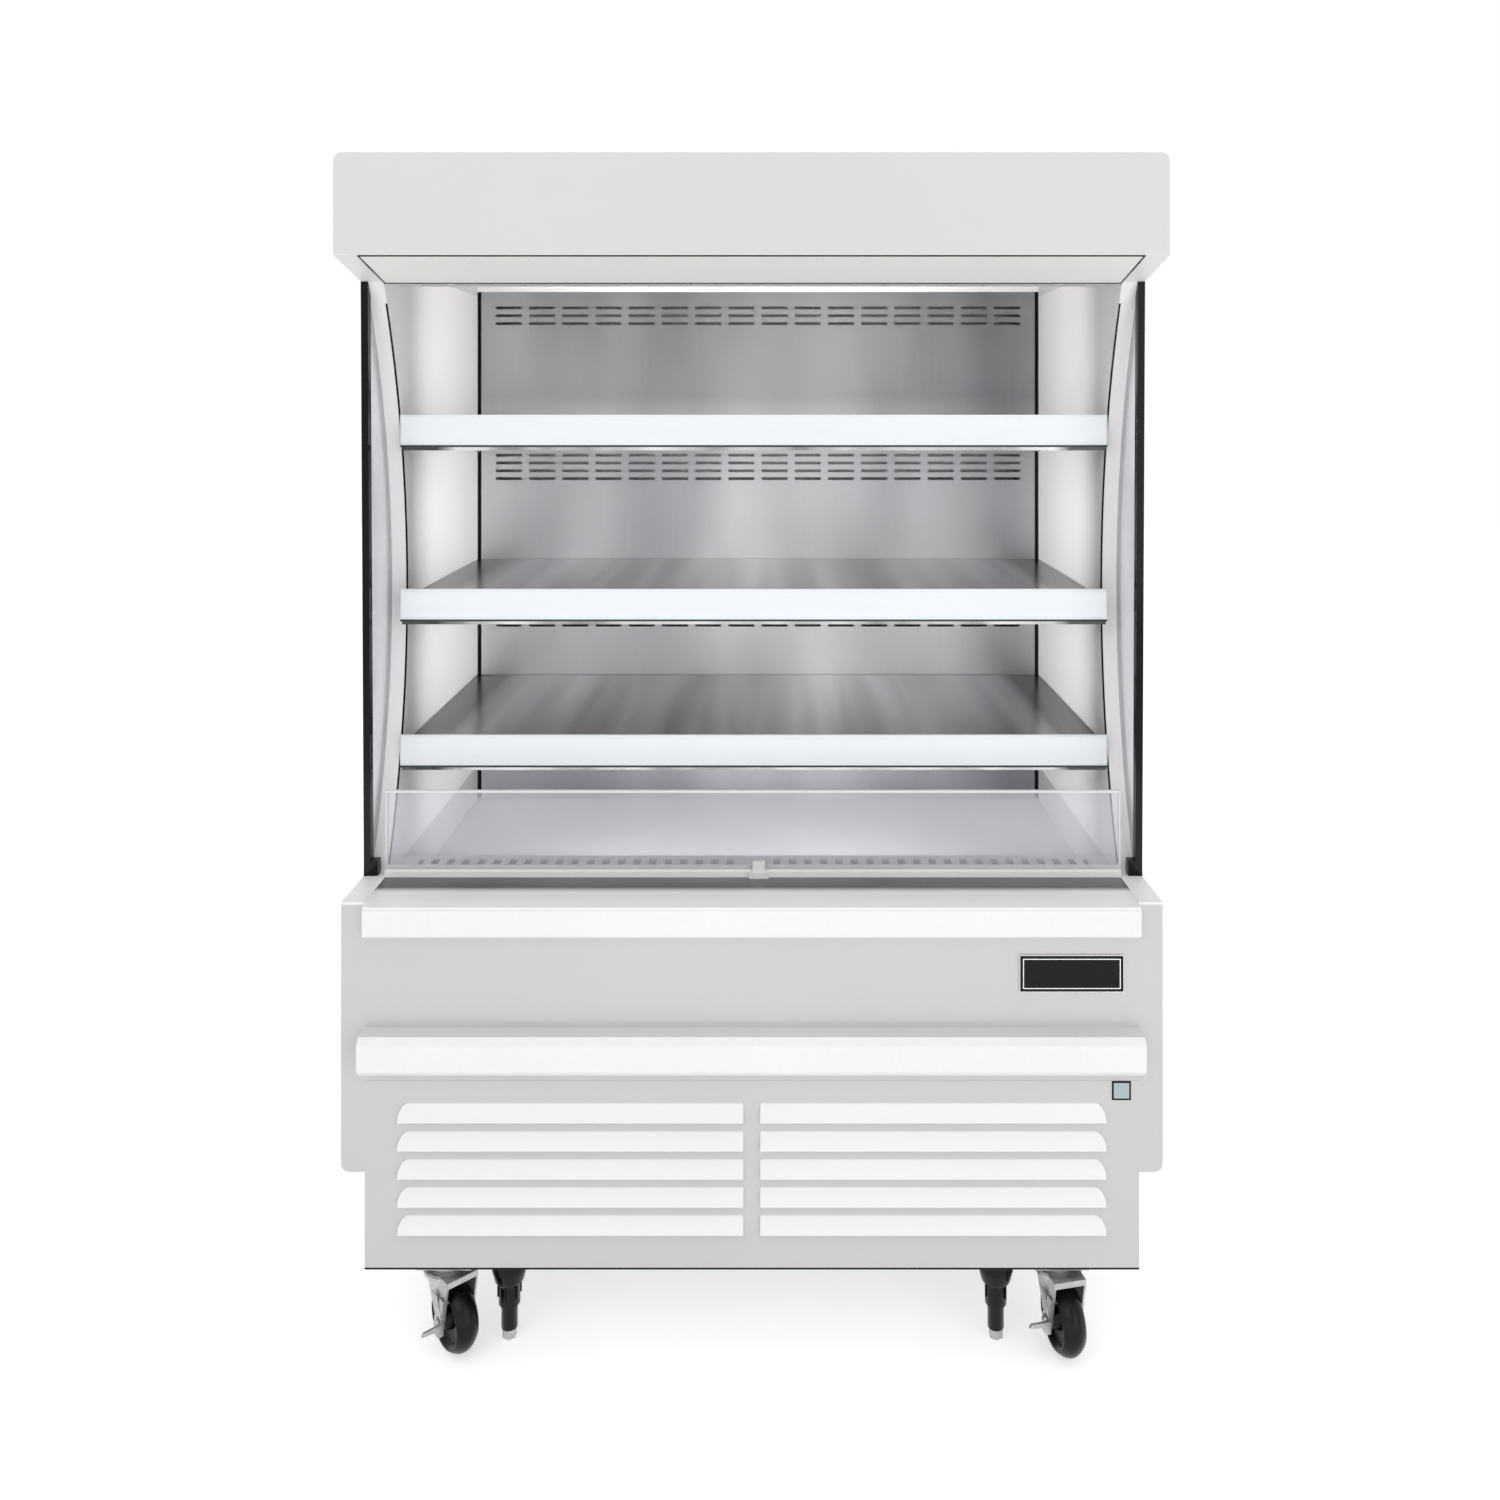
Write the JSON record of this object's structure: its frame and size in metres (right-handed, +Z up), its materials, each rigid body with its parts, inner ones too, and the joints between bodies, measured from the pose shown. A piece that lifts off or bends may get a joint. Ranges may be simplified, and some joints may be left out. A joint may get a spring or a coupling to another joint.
{
  "type": "open multideck display fridge",
  "caption": "Free-standing open-front multideck display fridge: tall cabinet with side glass panes, shelves with price rails, clear riser, louvred base and swivel castors.",
  "frame": {"origin": "middle of the bounding box, on the floor", "axes": "+Z up, +X to the right along the front, the open front faces -Y"},
  "size_m": [1.219, 0.889, 1.803],
  "materials": {
    "grey_paint": "warm light grey powder coat, semi-matt",
    "canopy_paint": "pale grey powder coat, semi-matt",
    "liner_paint": "off-white coated liner",
    "white_trim": "gloss white extruded plastic",
    "white_plastic": "white moulded plastic",
    "stainless": "brushed stainless steel",
    "dark_steel": "dark coated steel",
    "galvanised": "galvanised sheet",
    "clear_glass": "clear toughened glass",
    "diffuser": "satin diffuser sheet",
    "aluminium": "anodised extrusion",
    "fin_aluminium": "pressed fins",
    "black_trim": "gloss black extrusion",
    "plate_black": "blank gloss black plate with a bright rim",
    "clip_plastic": "white moulded plastic",
    "black_plastic": "black moulded plastic",
    "compressor_black": "black stove enamel",
    "copper": "drawn copper tube",
    "zinc": "bright zinc plate",
    "wheel_rubber": "black moulded tread"
  },
  "bodies": {
    "cabinet": {"base_rails": "galvanised", "base_pan": "galvanised", "end_wall_left": "grey_paint", "end_wall_right": "grey_paint", "rear_wall": "galvanised", "rear_grille": "galvanised", "insulated_tank": "liner_paint", "front_panel": "grey_paint", "louvre_panel": "grey_paint", "blank_plates": "plate_black", "ledge": "stainless", "upper_bumper": "white_trim", "lower_bumper": "white_trim", "riser_glass": "clear_glass", "riser_channel": "stainless", "riser_clip": "clip_plastic", "return_grille": "stainless", "deck_pan": "stainless", "back_panel": "stainless", "ceiling_panel": "liner_paint", "roof_panel": "grey_paint", "canopy_fascia": "canopy_paint", "lamp_cover": "diffuser", "led_lamp": "aluminium", "air_honeycomb": "white_plastic", "side_glass": "clear_glass", "glass_trims": "black_trim", "shelf_uprights": "dark_steel", "shelf_1": "stainless", "shelf_2": "stainless", "shelf_3": "stainless", "ticket_strips": "white_trim", "shelf_brackets": "stainless", "evaporator_coil": "fin_aluminium", "evaporator_fan_plate": "galvanised", "compressor": "compressor_black", "condenser_coil": "fin_aluminium", "condenser_shroud": "galvanised", "control_box": "galvanised", "drain_pan": "galvanised", "refrigerant_pipes": "copper", "castor_plates": "zinc", "leg_sockets": "black_plastic"},
    "castor_fork_front_left": {"castor_fork_front_left": "zinc"},
    "castor_wheel_front_left": {"castor_wheel_front_left": "wheel_rubber"},
    "brake_pedal_front_left": {"brake_pedal_front_left": "zinc"},
    "levelling_foot_front_left": {"levelling_foot_front_left": "zinc"},
    "castor_fork_front_right": {"castor_fork_front_right": "zinc"},
    "castor_wheel_front_right": {"castor_wheel_front_right": "wheel_rubber"},
    "brake_pedal_front_right": {"brake_pedal_front_right": "zinc"},
    "levelling_foot_front_right": {"levelling_foot_front_right": "zinc"},
    "castor_fork_rear_left": {"castor_fork_rear_left": "zinc"},
    "castor_wheel_rear_left": {"castor_wheel_rear_left": "wheel_rubber"},
    "levelling_foot_rear_left": {"levelling_foot_rear_left": "zinc"},
    "castor_fork_rear_right": {"castor_fork_rear_right": "zinc"},
    "castor_wheel_rear_right": {"castor_wheel_rear_right": "wheel_rubber"},
    "levelling_foot_rear_right": {"levelling_foot_rear_right": "zinc"},
    "condenser_fan": {"condenser_fan": "black_plastic"},
    "evaporator_fan_left": {"evaporator_fan_left": "black_plastic"},
    "evaporator_fan_right": {"evaporator_fan_right": "black_plastic"}
  },
  "joints": [
    {"name": "castor_swivel_front_left", "type": "hinge", "parent": "cabinet", "child": "castor_fork_front_left", "pos_m": [-0.467, -0.342, 0.12], "axis": [0, 0, 1], "continuous": true},
    {"name": "wheel_spin_front_left", "type": "hinge", "parent": "castor_fork_front_left", "child": "castor_wheel_front_left", "pos_m": [-0.45257, -0.3586, 0.051], "axis": [0.7547, 0.6561, 0], "continuous": true},
    {"name": "brake_press_front_left", "type": "hinge", "parent": "castor_fork_front_left", "child": "brake_pedal_front_left", "pos_m": [-0.45257, -0.3586, 0.051], "axis": [0.7547, 0.6561, 0], "range_deg": [0, 18]},
    {"name": "foot_screw_front_left", "type": "slide", "parent": "cabinet", "child": "levelling_foot_front_left", "axis": [0, 0, 1], "range_m": [-0.025, 0]},
    {"name": "castor_swivel_front_right", "type": "hinge", "parent": "cabinet", "child": "castor_fork_front_right", "pos_m": [0.467, -0.342, 0.12], "axis": [0, 0, 1], "continuous": true},
    {"name": "wheel_spin_front_right", "type": "hinge", "parent": "castor_fork_front_right", "child": "castor_wheel_front_right", "pos_m": [0.47157, -0.36352, 0.051], "axis": [0.9781, 0.2079, 0], "continuous": true},
    {"name": "brake_press_front_right", "type": "hinge", "parent": "castor_fork_front_right", "child": "brake_pedal_front_right", "pos_m": [0.47157, -0.36352, 0.051], "axis": [0.9781, 0.2079, 0], "range_deg": [0, 18]},
    {"name": "foot_screw_front_right", "type": "slide", "parent": "cabinet", "child": "levelling_foot_front_right", "axis": [0, 0, 1], "range_m": [-0.025, 0]},
    {"name": "castor_swivel_rear_left", "type": "hinge", "parent": "cabinet", "child": "castor_fork_rear_left", "pos_m": [-0.467, 0.342, 0.12], "axis": [0, 0, 1], "continuous": true},
    {"name": "wheel_spin_rear_left", "type": "hinge", "parent": "castor_fork_rear_left", "child": "castor_wheel_rear_left", "pos_m": [-0.45257, 0.3254, 0.051], "axis": [0.7547, 0.6561, 0], "continuous": true},
    {"name": "foot_screw_rear_left", "type": "slide", "parent": "cabinet", "child": "levelling_foot_rear_left", "axis": [0, 0, 1], "range_m": [-0.025, 0]},
    {"name": "castor_swivel_rear_right", "type": "hinge", "parent": "cabinet", "child": "castor_fork_rear_right", "pos_m": [0.467, 0.342, 0.12], "axis": [0, 0, 1], "continuous": true},
    {"name": "wheel_spin_rear_right", "type": "hinge", "parent": "castor_fork_rear_right", "child": "castor_wheel_rear_right", "pos_m": [0.47157, 0.32048, 0.051], "axis": [0.9781, 0.2079, 0], "continuous": true},
    {"name": "foot_screw_rear_right", "type": "slide", "parent": "cabinet", "child": "levelling_foot_rear_right", "axis": [0, 0, 1], "range_m": [-0.025, 0]},
    {"name": "condenser_fan_spin", "type": "hinge", "parent": "cabinet", "child": "condenser_fan", "pos_m": [-0.27, -0.294, 0.3012], "axis": [0, 1, 0], "continuous": true},
    {"name": "evaporator_fan_spin_left", "type": "hinge", "parent": "cabinet", "child": "evaporator_fan_left", "pos_m": [-0.23, -0.07, 0.5625], "axis": [0, 1, 0], "continuous": true},
    {"name": "evaporator_fan_spin_right", "type": "hinge", "parent": "cabinet", "child": "evaporator_fan_right", "pos_m": [0.23, -0.07, 0.5625], "axis": [0, 1, 0], "continuous": true}
  ]
}
